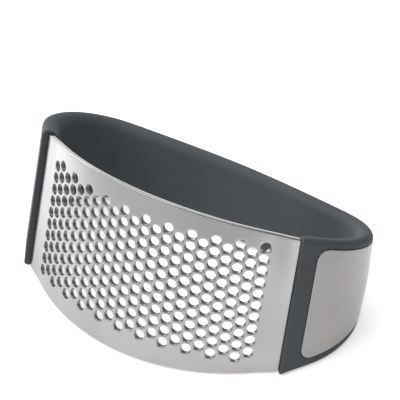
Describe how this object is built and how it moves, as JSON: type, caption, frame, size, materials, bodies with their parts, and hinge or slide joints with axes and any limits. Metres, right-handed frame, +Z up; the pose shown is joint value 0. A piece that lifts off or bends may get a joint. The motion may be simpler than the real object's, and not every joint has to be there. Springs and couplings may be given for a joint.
{
  "type": "garlic press",
  "caption": "Rocker garlic press: a curved perforated steel plate closed into a loop by a soft-covered handle with steel end plates.",
  "frame": {"origin": "on the surface that the press lies on, under the middle of its box", "axes": "+X along the length of the press, -Y towards the outside of the perforated plate, +Y towards the back of the handle, +Z up"},
  "size_m": [0.1098, 0.0716, 0.0535],
  "materials": {
    "plate_steel": "satin stainless steel, finely brushed across the plate",
    "end_steel": "satin stainless steel, bead blasted",
    "soft_grip": "dark grey soft-touch elastomer, matt",
    "core_nylon": "black moulded nylon, hidden",
    "rivet_steel": "plain stainless steel, hidden"
  },
  "bodies": {
    "root": {"press_plate": "plate_steel", "handle_core": "core_nylon", "grip_cover": "soft_grip", "right_end_plate": "end_steel", "left_end_plate": "end_steel", "right_upper_rivet": "rivet_steel", "right_lower_rivet": "rivet_steel", "left_upper_rivet": "rivet_steel", "left_lower_rivet": "rivet_steel"}
  },
  "joints": []
}
